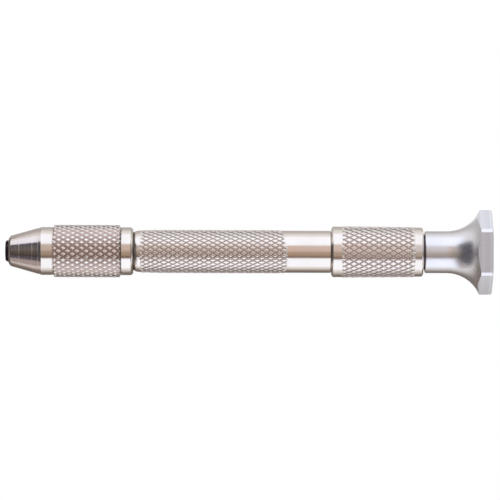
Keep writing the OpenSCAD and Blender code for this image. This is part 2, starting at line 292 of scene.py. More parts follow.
def knurled(count, row, anchor, x0, x1, land, rise, depth, wall, dome, run_out, floor=0.0,
            edge_round=0.03, groove_shade_reach=3.0, lean=(0.0, 0.0)):
    """A knurled sleeve between two true rims.

    land(x) is the plain radius, and rise and depth stand over and under it. wall is the width of a
    diamond's sloping side, and its top swells up by dome in the middle. Painted shade in the grooves
    thickens downwards, and is full at 1 / groove_shade_reach of the way from crest to foot. The run-out ends
    at floor under the land. lean tilts the rear end.
    """
    bm = diamond_lattice(count, row, anchor, x0, x1)
    raise_diamonds(bm, land, rise, depth, wall, dome, edge_round)

    front = (AXIS * x0, -AXIS)
    rear = (Vector((x1, 0, land(x1))), Vector((1, *lean)).normalized())
    cut_ends(bm, (front, rear), run_out)
    rims = [edge for edge in bm.edges if edge.is_boundary and edge.calc_length() > RIM_STEP]
    bmesh.ops.subdivide_edges(bm, edges=rims, cuts=RIM_CUTS)
    # Each point stores its share of painted shade, which grows with its depth in a groove
    groove = bm.verts.layers.float.new("groove")
    for vert in bm.verts:
        x = vert.co.x
        share = between(run_out, min((place - vert.co).dot(outwards) for place, outwards in (front, rear)))
        foot = land(x) - floor
        deep = (land(x) + rise - radius_of(vert)) / (rise + depth)
        vert[groove] = smooth_step(deep * groove_shade_reach) * max(share, floor / depth)
        at_radius(vert, x, foot + share * (radius_of(vert) - foot))

    rims = [edge for edge in bm.edges if edge.is_boundary]
    middle = (x0 + x1) / 2
    front_rim = [edge for edge in rims if edge.verts[0].co.x < middle]
    rear_rim = [edge for edge in rims if edge.verts[0].co.x > middle]
    return (bm, true_rim(bm, front_rim, x0 - RIM_GAP, land(x0) - floor),
            true_rim(bm, rear_rim, x1 + RIM_GAP, land(x1) - floor))


# %% [markdown]
# Threads
#
# The handle's ends are threaded at 0.8 mm pitch. A screw thread is a V that climbs one pitch in each
# turn, so a finely ringed cylinder becomes a thread when each point's radius follows its distance
# from the nearest crest of the helix.

# %% Cutting a thread
PITCH = 0.8
RINGS_PER_PITCH = 8
THREAD_DEPTH = 0.4


def thread_rings(start, end, radius):
    """Outline points close enough together to cut a thread on."""
    count = max(round(abs(end - start) / PITCH * RINGS_PER_PITCH), 1)
    return [(x, radius) for x in steps(start, end, count)]


def cut_thread(bm, x0, x1, radius, depth):
    """Moves the points at that radius between x0 and x1 into a V thread. A negative depth cuts outwards."""
    for vert in bm.verts:
        x = vert.co.x
        if x0 - CLOSE < x < x1 + CLOSE and abs(radius_of(vert) - radius) < NEAR:
            turn = math.atan2(vert.co.z, vert.co.y) / (2 * math.pi)
            valley = abs(2 * ((x / PITCH + turn) % 1) - 1)
            ends_fade = smooth_step((x - x0) / PITCH) * smooth_step((x1 - x) / PITCH)
            at_radius(vert, x, radius - depth * valley * ends_fade)


# %% [markdown]
# Making a piece of it
#
# A finished bmesh is scaled to metres and becomes an object that rides on its body. Faces are shaded
# smooth up to an angle, past which an edge stays crisp. The count of open edges is printed, and
# should be 0.

# %% Finishing a piece
def finished(bm, name, body, materials, replaces=(), crisp=20):
    """Turns a bmesh in mm into a piece of the scene that rides on its body."""
    open_edges = [edge for edge in bm.edges if not edge.is_manifold]
    bmesh.ops.recalc_face_normals(bm, faces=bm.faces)
    bmesh.ops.scale(bm, vec=(MM, MM, MM), verts=bm.verts)
    mesh = bpy.data.meshes.new(name)
    bm.to_mesh(mesh)
    bm.free()
    mesh.shade_smooth()
    mesh.set_sharp_from_angle(angle=math.radians(crisp))
    piece = bpy.data.objects.new(name, mesh)
    bpy.context.scene.collection.objects.link(piece)
    for material in materials:
        mesh.materials.append(material)
    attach(piece, body)
    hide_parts(*replaces)
    print(name, len(mesh.polygons), "faces,", len(open_edges), "open edges")
    return piece


# %% [markdown]
# Building materials from nodes
#
# Colours are written as the sRGB hex values that a colour picker shows, and one function turns them
# into the linear values that the renderer counts with. One more function adds a node, sets its
# sockets and links what feeds it, so that a material reads as a list of what it is made of.

# %% Colour and node helpers
def linear(hex_colour):
    """An sRGB hex colour as linear RGBA."""
    channels = [int(hex_colour[i:i + 2], 16) / 255 for i in (1, 3, 5)]
    return tuple(c / 12.92 if c <= 0.04045 else ((c + 0.055) / 1.055) ** 2.4 for c in channels) + (1.0,)


def add(tree, kind, sockets=None, **settings):
    """Adds a node. sockets maps an input's name or number to a value, or to the output that feeds it."""
    node = tree.nodes.new(kind)
    for key, value in settings.items():
        setattr(node, key, value)
    for socket, value in (sockets or {}).items():
        if isinstance(value, bpy.types.NodeSocket):
            tree.links.new(value, node.inputs[socket])
        else:
            node.inputs[socket].default_value = value
    return node


def new_material(name):
    """A node material with nothing in it, and its node tree."""
    material = bpy.data.materials.new(name)
    material.use_nodes = True
    material.node_tree.nodes.clear()
    return material, material.node_tree


def per_mm(spacing):
    """A texture scale on Object coordinates, which are in metres, for a pattern of that size in mm."""
    return 1 / (spacing * MM)


# The Mix node's sockets by number: its factor, its two colours, and the colour that it gives
MIX_FACTOR, MIX_A, MIX_B, MIX_OUT = 0, 6, 7, 2

# %% [markdown]
# Turned metal
#
# A turning tool leaves a fine spiral of ridges, too fine to see one by one, but they stretch every
# highlight round the piece and make turned metal look turned. Noise that reads only how far the tool
# has fed gives rings: the feed is the place along the axis plus the radius, so the same noise rings
# a cylinder, a cone and a flat end. The real feed is about 0.05 mm, finer than a pixel, so the rings
# are drawn about four times coarser. Handling leaves soft patches, a few millimetres wide, in which
# the metal is a little duller.
#
# All the vise's metals share these two patterns and differ in colour, roughness and the depth of
# their rings, so one function makes them. On a knurl a second colour paints shade into the grooves,
# by the depth that each point of the mesh stores. It stands for the shade down there, and also for the
# polish and skin grease that stay there. A milled face has straight streaks and no rings, so its
# pattern reads the place along the axis alone.

# %% A turned metal from its colour, roughness and ring depth
RING_SPACING = 0.22
PATCH_SIZE = 5.0


def turned_metal(name, bright, dull, roughness, rough_more, ring_depth, groove_shade=None,
                 ring_spacing=RING_SPACING, milled=False):
    """A bare metal. Its two colours follow the patches, or the cutter's streaks where it is milled.

    rough_more is what a dull patch adds to the roughness. The depth and spacing of rings are in mm.
    """
    material, tree = new_material(name)
    place = add(tree, "ShaderNodeTexCoord").outputs["Object"]
    along = add(tree, "ShaderNodeSeparateXYZ", {"Vector": place}).outputs["X"]
    across = add(tree, "ShaderNodeVectorMath", {0: place, 1: (0, 1, 1)},
                 operation="MULTIPLY").outputs["Vector"]
    radius = add(tree, "ShaderNodeVectorMath", {0: across}, operation="LENGTH").outputs["Value"]
    turned_feed = add(tree, "ShaderNodeMath", {0: along, 1: radius}, operation="ADD").outputs["Value"]
    feed = along if milled else turned_feed
    rings = add(tree, "ShaderNodeTexNoise", {"W": feed, "Scale": per_mm(ring_spacing), "Detail": 2.0},
                noise_dimensions="1D").outputs["Fac"]
    patches = add(tree, "ShaderNodeTexNoise", {"Vector": place, "Scale": per_mm(PATCH_SIZE),
                                               "Detail": 4.0}).outputs["Fac"]
    colour = add(tree, "ShaderNodeMix", {MIX_FACTOR: rings if milled else patches, MIX_A: linear(bright),
                                         MIX_B: linear(dull)}, data_type="RGBA").outputs[MIX_OUT]
    # Painted shade in the knurl's grooves, from the share that each point stores
    if groove_shade:
        depth = add(tree, "ShaderNodeAttribute", attribute_name="groove").outputs["Fac"]
        colour = add(tree, "ShaderNodeMix", {MIX_FACTOR: depth, MIX_A: colour, MIX_B: linear(groove_shade)},
                     data_type="RGBA").outputs[MIX_OUT]
    dullness = add(tree, "ShaderNodeMapRange", {"Value": patches, "From Min": 0.3, "From Max": 0.7,
                                                "To Min": roughness, "To Max": roughness + rough_more})
    bump = add(tree, "ShaderNodeBump", {"Height": rings, "Strength": 1.0, "Distance": ring_depth * MM})
    shader = add(tree, "ShaderNodeBsdfPrincipled", {"Base Color": colour, "Metallic": 1.0,
                                                    "Roughness": dullness.outputs["Result"],
                                                    "Normal": bump.outputs["Normal"]})
    add(tree, "ShaderNodeOutputMaterial", {"Surface": shader.outputs["BSDF"]})
    return material


# %% [markdown]
# The metals
#
# The nut, the handle and the cap are steel under dull nickel plate, a warm, slightly yellow silver.
# The nut's coarse knurl has its own, lighter copy of the plate. It is a painted highlight that makes up
# for the shade in its deep grooves. The nose cone is ground after the nut is turned. It is greyer,
# and its rings are wide and deep enough to see.
# Collets are hardened and quenched in oil, which leaves them nearly black. The spindle is bright
# turned steel. The threads, the nut's groove behind its knurl and the swivel's thrust washer are
# darkened with painted shade, for the shade in their gaps, and the threads hold oil as well.
# The other washers are ground, the bush is bronze and the head is satin aluminium. Its flats are
# milled, which leaves bright and dull streaks straight across them, 0.4 mm apart.

# %% The metals
nickel = turned_metal("satin nickel plate", "#E7E0DA", "#DCD4CD", 0.15, 0.06, 0.002, groove_shade="#D4C4BD")
lightened_nickel = turned_metal("satin nickel plate, lightened for the deep knurl", "#EEE7E2", "#E6DED8", 0.15, 0.06, 0.002,
                           groove_shade="#D3C5BF")
nose_steel = turned_metal("ground nose steel", "#DACFCB", "#CEC2BD", 0.15, 0.06, 0.03, ring_spacing=0.9)
black_steel = turned_metal("oil-quenched collet steel", "#443739", "#32272A", 0.30, 0.10, 0.002)
bright_steel = turned_metal("bright turned steel", "#CBC9C6", "#B8B5B1", 0.18, 0.08, 0.004)
oiled_and_shaded_steel = turned_metal("oiled steel with painted gap shade", "#6E645E", "#574E49", 0.28, 0.10, 0.004)
spring_steel = turned_metal("ground spring steel", "#BFC0C2", "#ABACAE", 0.22, 0.06, 0.001)
shaded_washer_steel = turned_metal("washer steel with painted gap shade", "#57504F", "#453F3E", 0.30, 0.08, 0.001)
bronze = turned_metal("bearing bronze", "#B98A55", "#A4763F", 0.25, 0.08, 0.002)
brass = turned_metal("stamped brass", "#D9B365", "#C79E50", 0.22, 0.08, 0.001)
aluminium = turned_metal("satin turned aluminium", "#E3E1E4", "#D9D7DB", 0.25, 0.06, 0.003)
milled_rim = turned_metal("milled aluminium", "#F4F5FB", "#BBBCC4", 0.26, 0.08, 0.004,
                          ring_spacing=0.4, milled=True)

# %% [markdown]
# The chuck nut
#
# The nut closes the collet with a cone inside its nose. Outside it has a ground nose cone with a few
# tool rings, a plain land, a coarse and deep knurl, and a second plain land that ends in a chamfer.
# Its grooves go a little under the land, and its crests stand half a millimetre over it, so this knurl
# shows in the outline. Its diamonds are in step with the frame's own.
#
# A size that is a list of pairs is the shape of one edge: how far each point lies from the end, and how
# far under the plain radius.

# %% The chuck nut's sizes
LAND_R = 5.325
NOSE_FACE_R = 2.8
NOSE_R = 3.375
NOSE_CHAMFER = 0.45
CONE_RISE = math.tan(math.radians(15.75))
NUT_FRONT_LAND = 2.35
NUT_KNURL_LEN = 15.35
NUT_GROOVE = 0.1
NUT_SLOPE = 0.5
NUT_RUN_OUT = [(0, 0), (0.15, 0), (NUT_SLOPE, 1)]
NUT_COUNT, NUT_ROWS = 28, 14
# The nut's painted groove shade reaches higher up the sides of its diamonds than on the other knurls
NUT_PATTERN = {"rise": 0.48, "depth": NUT_GROOVE, "wall": 0.26, "dome": 0.03, "edge_round": 0.06,
               "groove_shade_reach": 1.3}
NUT_LIP = ((0.04, 0.02), (0.07, 0))
NUT_REAR_EDGE = ((0.45, 0), (0.1, 0.28), (0, 0.42))
EDGE = 0.25
CONE_EDGE = 0.05
CONE_START = 0.1
# Each ring of the nose cone: its place along the axis, its depth and its width
TOOL_RINGS = ((3.2, 0.005, 0.3), (6.1, 0.006, 0.3), (7.6, 0.08, 0.56))
TOOL_NOSE = 0.04
MOUTH_R = 2.47
MOUTH_EDGE = 0.05
NUT_BORE_R = 3.6
THREAD_HOLE_R = 4.3

cone_x0 = nut_x0 + NOSE_CHAMFER
cone_x1 = cone_x0 + (LAND_R - NOSE_R) / CONE_RISE
nut_knurl_x0 = cone_x1 + NUT_FRONT_LAND
nut_knurl_x1 = nut_knurl_x0 + NUT_KNURL_LEN
NOSE_CORNER = [(cone_x0 - 0.04, NOSE_R - 0.06), (nut_x0 + 0.06, NOSE_FACE_R + 0.08),
               (nut_x0, NOSE_FACE_R - 0.04)]
print("the nut's knurl runs from %.2f to %.2f mm" % (nut_knurl_x0, nut_knurl_x1))

# %% [markdown]
# The nut's nose
#
# The cone is not quite smooth: the tool left a few rings, and the deepest lies next to the land. Each
# is a short, steep step and a long slope back, so that it catches the light on one side only.

# %% The outline of the nose
def cone_r(x):
    """The cone's radius at a place along the axis."""
    return NOSE_R + (x - cone_x0) * CONE_RISE


def edge_points(x, radius, towards, pairs):
    """The points of an edge at x. They lie in front of it if towards is -1, and behind it if 1."""
    return [(x + towards * away, radius - down) for away, down in pairs]


def nose_outline():
    """From the front land forwards over the cone, round the mouth and back along the bore."""
    outline = edge_points(nut_knurl_x0, LAND_R, -1, NUT_LIP)
    outline += [(cone_x1 + CONE_EDGE, LAND_R), (cone_x1 - CONE_EDGE, cone_r(cone_x1 - CONE_EDGE))]
    for x, depth, width in reversed(TOOL_RINGS):
        front, rear = x - width / 2, x + width / 2
        outline += [(rear, cone_r(rear)), (front + TOOL_NOSE, cone_r(front + TOOL_NOSE) - depth),
                    (front, cone_r(front))]
    outline += [(cone_x0 + CONE_START, cone_r(cone_x0 + CONE_START))] + NOSE_CORNER
    outline += [(nut_x0, MOUTH_R + MOUTH_EDGE), (nut_x0 + MOUTH_EDGE, MOUTH_R)]
    bore_x = nut_x0 + (NUT_BORE_R - MOUTH_R) / CONE_RISE
    thread_x = spindle_x0 - PITCH
    return outline + [(bore_x, NUT_BORE_R), (thread_x, NUT_BORE_R), (thread_x, THREAD_HOLE_R)]


# %% [markdown]
# The whole nut
#
# The nut carries four finishes. Its lands are plated, its knurl has a lighter copy of the plate as a
# painted highlight, its cone is ground, and the plain groove behind the knurl is darkened as painted
# shade. Each face picks one by its place.

# %% The chuck nut
PLATED, GROUND, GAP_SHADED, LIGHTENED_KNURL = range(4)
CONE_MARGIN = 0.02
GAP_SHADE_LEN = 0.2
OUTSIDE_R = THREAD_HOLE_R + 0.5


def nut_finish(face):
    """Which of the nut's four finishes a face has."""
    x = face.calc_center_median().x
    if x < cone_x1 - CONE_MARGIN:
        return GROUND
    if radius_of(face.verts[0]) > OUTSIDE_R:
        # The plain groove behind the knurl is darkened as painted shade
        if nut_knurl_x1 - GAP_SHADE_LEN < x < nut_knurl_x1 + NUT_LIP[0][0]:
            return GAP_SHADED
        # The knurl gets the lighter copy of the plate, a painted highlight
        if nut_knurl_x0 < x < nut_knurl_x1:
            return LIGHTENED_KNURL
    return PLATED


def make_chuck_nut():
    row = (NUT_KNURL_LEN - 2 * NUT_SLOPE) / NUT_ROWS
    bm, front, rear = knurled(NUT_COUNT, row, nut_knurl_x0 + NUT_SLOPE, nut_knurl_x0, nut_knurl_x1,
                              land=lambda x: LAND_R, run_out=NUT_RUN_OUT, floor=NUT_GROOVE,
                              **NUT_PATTERN)
    front = turn_on(bm, front, nose_outline())
    rear = turn_on(bm, rear, edge_points(nut_knurl_x1, LAND_R, 1, NUT_LIP)
                   + edge_points(nut_x1, LAND_R, -1, NUT_REAR_EDGE)
                   + [(nut_x1, THREAD_HOLE_R + PITCH / 4), (nut_x1 - PITCH / 4, THREAD_HOLE_R)])
    thread_x0, thread_x1 = spindle_x0 - PITCH + EDGE, nut_x1 - PITCH / 2
    front = turn_on(bm, front, thread_rings(thread_x0, thread_x1, THREAD_HOLE_R))
    bmesh.ops.bridge_loops(bm, edges=front + rear)
    cut_thread(bm, thread_x0, thread_x1, THREAD_HOLE_R, -THREAD_DEPTH)
    for face in bm.faces:
        face.material_index = nut_finish(face)
    return finished(bm, "nut_shell", "chuck_nut",
                    [nickel, nose_steel, oiled_and_shaded_steel, lightened_nickel], ["chuck_nut"])


make_chuck_nut()

# %% [markdown]
# The collet's jaws
#
# The collet is one piece of spring steel, sawn into four jaws at each end. A jaw is turned whole and
# then sawn: two planes, half a saw cut off the axis, each take off what lies outside them, and the
# cuts are closed with faces. The saw leaves edges that are stoned smooth, so they get a bevel.

# %% The jaws
JAWS = 4
JAW_LEN = 10.96
TIP_R = 2.25
TIP_CONE_START = 0.3
TIP_EDGE = ((0.12, 0.04), (0, 0.22))
JAW_BORE_R = 1.2
BORE_EDGE_LEN, BORE_EDGE_RISE = 0.06, 0.08
COLLET_R = 3.1
COLLET_CONE_LEN = (COLLET_R - TIP_R) / CONE_RISE
SAW_HALF = 0.2
SAW_CLOSE = 0.001
JAW_BEVEL = 0.05


def saw(bm, place, outwards, bevel):
    """Takes off what lies outside a plane, closes the cut and rounds its edges."""
    everything = bm.verts[:] + bm.edges[:] + bm.faces[:]
    cut = bmesh.ops.bisect_plane(bm, geom=everything, dist=SAW_CLOSE, plane_co=place,
                                 plane_no=outwards, clear_outer=True)["geom_cut"]
    loop = [part for part in cut if isinstance(part, BMEdge)]
    bmesh.ops.edgeloop_fill(bm, edges=loop)
    bmesh.ops.bevel(bm, geom=loop, offset=bevel, segments=2, profile=0.5, affect="EDGES",
                    material=-1, clamp_overlap=True)


def make_jaw(number):
    bm = turned([(BORE_EDGE_LEN, JAW_BORE_R), (JAW_LEN, JAW_BORE_R), (JAW_LEN, COLLET_R),
                 (COLLET_CONE_LEN, COLLET_R), (TIP_CONE_START, TIP_R + TIP_CONE_START * CONE_RISE),
                 *edge_points(0, TIP_R, 1, TIP_EDGE), (0, JAW_BORE_R + BORE_EDGE_RISE),
                 (BORE_EDGE_LEN, JAW_BORE_R)])
    for turn in (-0.5, 0.5):
        around = math.pi / 2 * (number + turn)
        outwards = math.copysign(1, turn) * Vector((0, -math.sin(around), math.cos(around)))
        saw(bm, -outwards * SAW_HALF, outwards, JAW_BEVEL)
    name = "collet_jaw_%d" % (number + 1)
    return finished(bm, name + "_steel", "jaw_%d" % (number + 1), [black_steel],
                    [name], crisp=30)


for number in range(JAWS):
    make_jaw(number)

# %% [markdown]
# The handle
#
# The handle's front shoulder is rounded over. Its knurl is finer and much shallower than the nut's,
# with broad tops to its diamonds, and its rear end is askew. Behind it lies a plain polished band,
# then a step and the thread for the tail cap. The bore behind the spindle keeps a spare collet.

# %% The handle
NECK_R = 4.6
BAND_R = 4.675
NECK_LEN = 1.2
NECK_EDGE = ((0.6, 0.04), (0.3, 0.12), (0.1, 0.24), (0, 0.36))
NECK_TAPER_LEN = 6
BARREL_COUNT, BARREL_ROW = 27, 0.985
BARREL_PATTERN = {"rise": 0.1, "depth": 0.1, "wall": 0.16, "dome": 0.028}
BARREL_RUN_OUT = [(0, 0), (0.2, 0.35), (0.6, 1)]
BARREL_LEAN = (0.095, -0.24)
THREAD_R = 4.25
PRESS_R = 3.8
WELL_R = 3.3
BARREL_KNURL_END = 62.6
SHOULDER_X = 72.214
SHOULDER_MARGIN = 0.01

barrel_knurl_x0 = barrel_x0 + NECK_LEN


def barrel_land(x):
    """The handle's plain radius, which grows a little from the neck to the band."""
    return NECK_R + (BAND_R - NECK_R) * smooth_step((x - barrel_knurl_x0) / NECK_TAPER_LEN)


def make_handle():
    bm, front, rear = knurled(BARREL_COUNT, BARREL_ROW, barrel_knurl_x0 + BARREL_ROW / 2,
                              barrel_knurl_x0, BARREL_KNURL_END, land=barrel_land,
                              run_out=BARREL_RUN_OUT, lean=BARREL_LEAN, **BARREL_PATTERN)
    front = turn_on(bm, front, edge_points(barrel_x0, NECK_R, 1, NECK_EDGE) + [(barrel_x0, PRESS_R)])
    front = turn_on(bm, front, [(spindle_x1, PRESS_R), (spindle_x1, WELL_R)])
    rear = turn_on(bm, rear, [(SHOULDER_X - EDGE / 2, BAND_R), (SHOULDER_X, BAND_R - EDGE / 2),
                              (SHOULDER_X, THREAD_R)])
    thread_x1 = barrel_x1 - PITCH / 2
    rear = turn_on(bm, rear, thread_rings(SHOULDER_X + EDGE, thread_x1, THREAD_R))
    rear = turn_on(bm, rear, [(barrel_x1, THREAD_R - PITCH / 2), (barrel_x1, WELL_R + EDGE / 2),
                              (barrel_x1 - EDGE / 2, WELL_R)])
    bmesh.ops.bridge_loops(bm, edges=front + rear)
    cut_thread(bm, SHOULDER_X + EDGE, thread_x1, THREAD_R, THREAD_DEPTH)
    # The shoulder and the thread behind it get the dark steel: oil, and painted shade for the joint under
    # the cap
    for face in bm.faces:
        face.material_index = int(face.calc_center_median().x > SHOULDER_X - SHOULDER_MARGIN)
    return finished(bm, "handle_shell", "handle", [nickel, oiled_and_shaded_steel],
                    ["handle_barrel"])


make_handle()

# %% [markdown]
# The chuck spindle
#
# The spindle is pressed into the handle and is bored out to hold the collet. Only a ring of its
# thread shows, in the gap behind the nut, but two turns of the nut uncover 1.6 mm more of it.

# %% The chuck spindle
SEAT_R = 3.15
SEAT_TIP_R = 2.3
SHANK_HOLE_R = 2.0
SEAT_X0, SEAT_X1 = 26.99, 30.0


def make_spindle():
    outline = [(spindle_x0, SEAT_R), (spindle_x0, THREAD_R - PITCH / 2)]
    outline += thread_rings(spindle_x0 + PITCH / 2, barrel_x0, THREAD_R)
    outline += [(barrel_x0, PRESS_R), (spindle_x1, PRESS_R), (spindle_x1, SHANK_HOLE_R),
                (SEAT_X1, SHANK_HOLE_R), (SEAT_X1, SEAT_TIP_R), (SEAT_X0, SEAT_R), (spindle_x0, SEAT_R)]
    bm = turned(outline)
    cut_thread(bm, spindle_x0 + PITCH / 2, barrel_x0, THREAD_R, THREAD_DEPTH)
    # The whole spindle gets the dark steel: oil on its thread, and painted shade for the gap behind the nut
    return finished(bm, "spindle_thread", "handle", [oiled_and_shaded_steel], ["chuck_spindle"])


make_spindle()

# %% [markdown]
# The tail cap
#
# The cap screws on behind the plain band. It has a front land with a steep chamfer, a shallow knurl
# with slightly longer diamonds than the handle's, and a short rear land, and it tapers a little
# towards the rear. Inside are its thread, a plain hollow and the hole for the swivel's bush.

# %% The tail cap
CAP_FRONT_R = 5.625
CAP_REAR_R = 5.45
CAP_FRONT_LAND = 2.25
CAP_FRONT_EDGE = ((0.42, 0), (0.3, 0.07), (0.06, 0.5), (0, 0.66))
CAP_REAR_EDGE = ((0.36, 0), (0.12, 0.22), (0, 0.5))
CAP_KNURL_LEN = 16.35
CAP_COUNT, CAP_ROWS = 29, 15
CAP_PATTERN = {"rise": 0.08, "depth": 0.14, "wall": 0.18, "dome": 0.028}
CAP_RUN_OUT = [(0, 0), (0.2, 0.4), (0.5, 1)]
CAP_HOLLOW_R = 3.7
WALL = 4.6
cap_knurl_x0 = cap_x0 + CAP_FRONT_LAND
cap_knurl_x1 = cap_knurl_x0 + CAP_KNURL_LEN
wall_x0 = cap_x1 - WALL
BUSH_R = 3.0


def cap_land(x):
    """The cap's plain radius, which tapers towards the rear."""
    return CAP_FRONT_R + (CAP_REAR_R - CAP_FRONT_R) * (x - cap_x0) / (cap_x1 - cap_x0)


def make_tail_cap():
    row = CAP_KNURL_LEN / CAP_ROWS
    bm, front, rear = knurled(CAP_COUNT, row, cap_knurl_x0 + row / 2, cap_knurl_x0, cap_knurl_x1,
                              land=cap_land, run_out=CAP_RUN_OUT, **CAP_PATTERN)
    front = turn_on(bm, front, edge_points(cap_x0, cap_land(cap_x0), 1, CAP_FRONT_EDGE)
                    + [(cap_x0, THREAD_HOLE_R + EDGE)])
    thread_x0, thread_x1 = cap_x0 + EDGE, barrel_x1 + PITCH
    front = turn_on(bm, front, thread_rings(thread_x0, thread_x1, THREAD_HOLE_R))
    front = turn_on(bm, front, [(thread_x1, CAP_HOLLOW_R), (wall_x0, CAP_HOLLOW_R)])
    rear = turn_on(bm, rear, edge_points(cap_x1, cap_land(cap_x1), -1, CAP_REAR_EDGE)
                   + [(cap_x1, BUSH_R), (wall_x0, BUSH_R)])
    bmesh.ops.bridge_loops(bm, edges=front + rear)
    cut_thread(bm, thread_x0, thread_x1, THREAD_HOLE_R, -THREAD_DEPTH)
    return finished(bm, "cap_shell", "tail_cap", [nickel], ["tail_cap"])


make_tail_cap()

# %% [markdown]
# The palm head
#
# The head is turned from aluminium bar: a round stem, a hollow flare of 8 mm radius and a thick rim.
# Six flats are then milled on the rim, in the way that the jaws were sawn. What is left of the turned
# rim between two flats is a narrow land at each corner. The flat that faces the camera is milled a
# little deeper than its frame node's.

# %% The palm head's sizes
STEM_R = 4.65
STEM_LEN = 4.85
FLARE_R = 8.0
RIM_R = 9.42
RIM_LEN = 2.7
RIM_ROUND = 0.35
FLATS = 6
FLAT_BEVEL = 0.06
DEEPER_CUT = 0.1
POCKET_R = 3.94
POCKET_DEPTH = 0.48
SCREW_HOLE_R = 1.55
SCREW_HOLE_LEN = 6.8
ARC_STEPS, ROUND_STEPS = 24, 6
flat_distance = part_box("swivel_head")[1].z / MM
flare_x0 = head_x0 + STEM_LEN
rim_x0 = head_x1 - RIM_LEN
flare_angle = math.acos(1 - (RIM_R - STEM_R) / FLARE_R)
print("the flare turns through %.1f degrees" % math.degrees(flare_angle))

# %% [markdown]
# Keeping flat faces flat
#
# Smooth shading bends the reflection of a flat face towards the small bevels round it, and on a large
# face the bend shows as a slanting seam. So each milled flat is shaded flat, and the palm face has one
# more ring close to its edge, which keeps the bend out of its middle.

# %% The palm head
TURNED, MILLED = range(2)


def head_outline():
    """From the bottom of the screw's hole out over the stem, the flare and the rim to the palm face."""
    pocket_x1 = head_x0 + POCKET_DEPTH
    hole_x1 = pocket_x1 + SCREW_HOLE_LEN
    outline = [(hole_x1, 0), (hole_x1, SCREW_HOLE_R), (pocket_x1, SCREW_HOLE_R), (pocket_x1, POCKET_R),
               (head_x0, POCKET_R), (head_x0, STEM_R - EDGE), (head_x0 + EDGE / 3, STEM_R - EDGE / 3),
               (head_x0 + EDGE, STEM_R)]
    outline += [(flare_x0 + FLARE_R * math.sin(a), STEM_R + FLARE_R * (1 - math.cos(a)))
                for a in steps(0, flare_angle, ARC_STEPS)]
    round_x, round_r = head_x1 - RIM_ROUND, RIM_R - RIM_ROUND
    outline += [(round_x + RIM_ROUND * math.sin(a), round_r + RIM_ROUND * math.cos(a))
                for a in steps(0, math.pi / 2, ROUND_STEPS)]
    return outline + [(head_x1, flat_distance - DEEPER_CUT - 2 * FLAT_BEVEL), (head_x1, 0)]


def make_head():
    bm = turned(head_outline())
    for k in range(FLATS):
        around = 2 * math.pi * k / FLATS
        outwards = Vector((0, math.sin(around), math.cos(around)))
        distance = flat_distance - (DEEPER_CUT if k == 0 else 0)
        saw(bm, outwards * distance, outwards, FLAT_BEVEL)
        for face in bm.faces:
            if abs(face.calc_center_median().dot(outwards) - distance) < NEAR:
                face.material_index = MILLED
    head = finished(bm, "palm_head", "swivel_head", [aluminium, milled_rim],
                    ["swivel_head"], crisp=30)
    for face in head.data.polygons:
        face.use_smooth = face.material_index == TURNED
    return head


make_head()

# %% [markdown]
# The nodes that keep their own shape
#
# The middle of the collet, the spare collet, the washers, the bush and the screw already have their
# real shape in the frame, with saw cuts, cones and bores, so they keep it and get a metal each.

# %% Dress the frame's own nodes
# The thrust washer is darkened as painted shade, for the gap between the cap and the head
FINISHES = {
    "collet": black_steel, "spare_collet": black_steel, "swivel_bush": bronze, "bearing_washer": brass,
    "wave_washer": spring_steel, "swivel_screw": bright_steel, "thrust_washer": shaded_washer_steel,
}
for node, material in FINISHES.items():
    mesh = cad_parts[node].data
    mesh.materials.clear()
    mesh.materials.append(material)
print(len(FINISHES), "nodes keep their own shape")

# %% [markdown]
# The table that it lies on
#
# Lying down, the vise rests on the flat of its head and on the crests of its nut, so the table slopes
# a little against its axis. The slope follows from the frame. The table shows white to the camera and
# in reflections, and a share of plain diffuse white keeps the vise's own shadow on it.

# %% The table
TABLE_SIZE = 4.0
SHADOW_SHARE = 0.15
TABLE_GLOW = 1.13
nut_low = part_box("chuck_nut")[0].z
flat_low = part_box("swivel_head")[0].z
slope = math.atan2(nut_low - flat_low, (rim_x0 - nut_knurl_x0) * MM)
on_table = Matrix.Translation((nut_knurl_x0 * MM, 0, nut_low)) @ Matrix.Rotation(slope, 4, "Y")
print("the table slopes by %.2f degrees" % math.degrees(slope))


def stage_plane(name, width, length, matrix, material):
    """A rectangle that belongs to the studio and not to the vise."""
    bm = bmesh.new()
    bmesh.ops.create_grid(bm, x_segments=1, y_segments=1, size=0.5)
    bmesh.ops.scale(bm, vec=(width, length, 1), verts=bm.verts)
    bmesh.ops.transform(bm, matrix=matrix, verts=bm.verts)
    mesh = bpy.data.meshes.new(name)
    bm.to_mesh(mesh)
    bm.free()
    mesh.materials.append(material)
    plane = bpy.data.objects.new(name, mesh)
    bpy.context.scene.collection.objects.link(plane)
    return plane


def shown_directly(tree):
    """1 for rays that see the plain white background: the camera's, and those that metal reflects."""
    seen = add(tree, "ShaderNodeLightPath").outputs
    straight = add(tree, "ShaderNodeMath", {0: seen["Is Camera Ray"], 1: seen["Is Transmission Ray"]},
                   operation="MAXIMUM").outputs["Value"]
    return add(tree, "ShaderNodeMath", {0: straight, 1: seen["Is Glossy Ray"]},
               operation="MAXIMUM").outputs["Value"]


def white_table():
    material, tree = new_material("white table")
    share = add(tree, "ShaderNodeMath", {0: shown_directly(tree), 1: 1 - SHADOW_SHARE}, operation="MULTIPLY")
    paper = add(tree, "ShaderNodeBsdfDiffuse", {"Color": linear("#F4F4F4")})
    white = add(tree, "ShaderNodeEmission", {"Color": linear("#FFFFFF"), "Strength": TABLE_GLOW})
    surface = add(tree, "ShaderNodeMixShader", {0: share.outputs[0], 1: paper.outputs[0],
                                                2: white.outputs[0]})
    add(tree, "ShaderNodeOutputMaterial", {"Surface": surface.outputs[0]})
    return material


stage_plane("table", TABLE_SIZE, TABLE_SIZE, on_table, white_table())

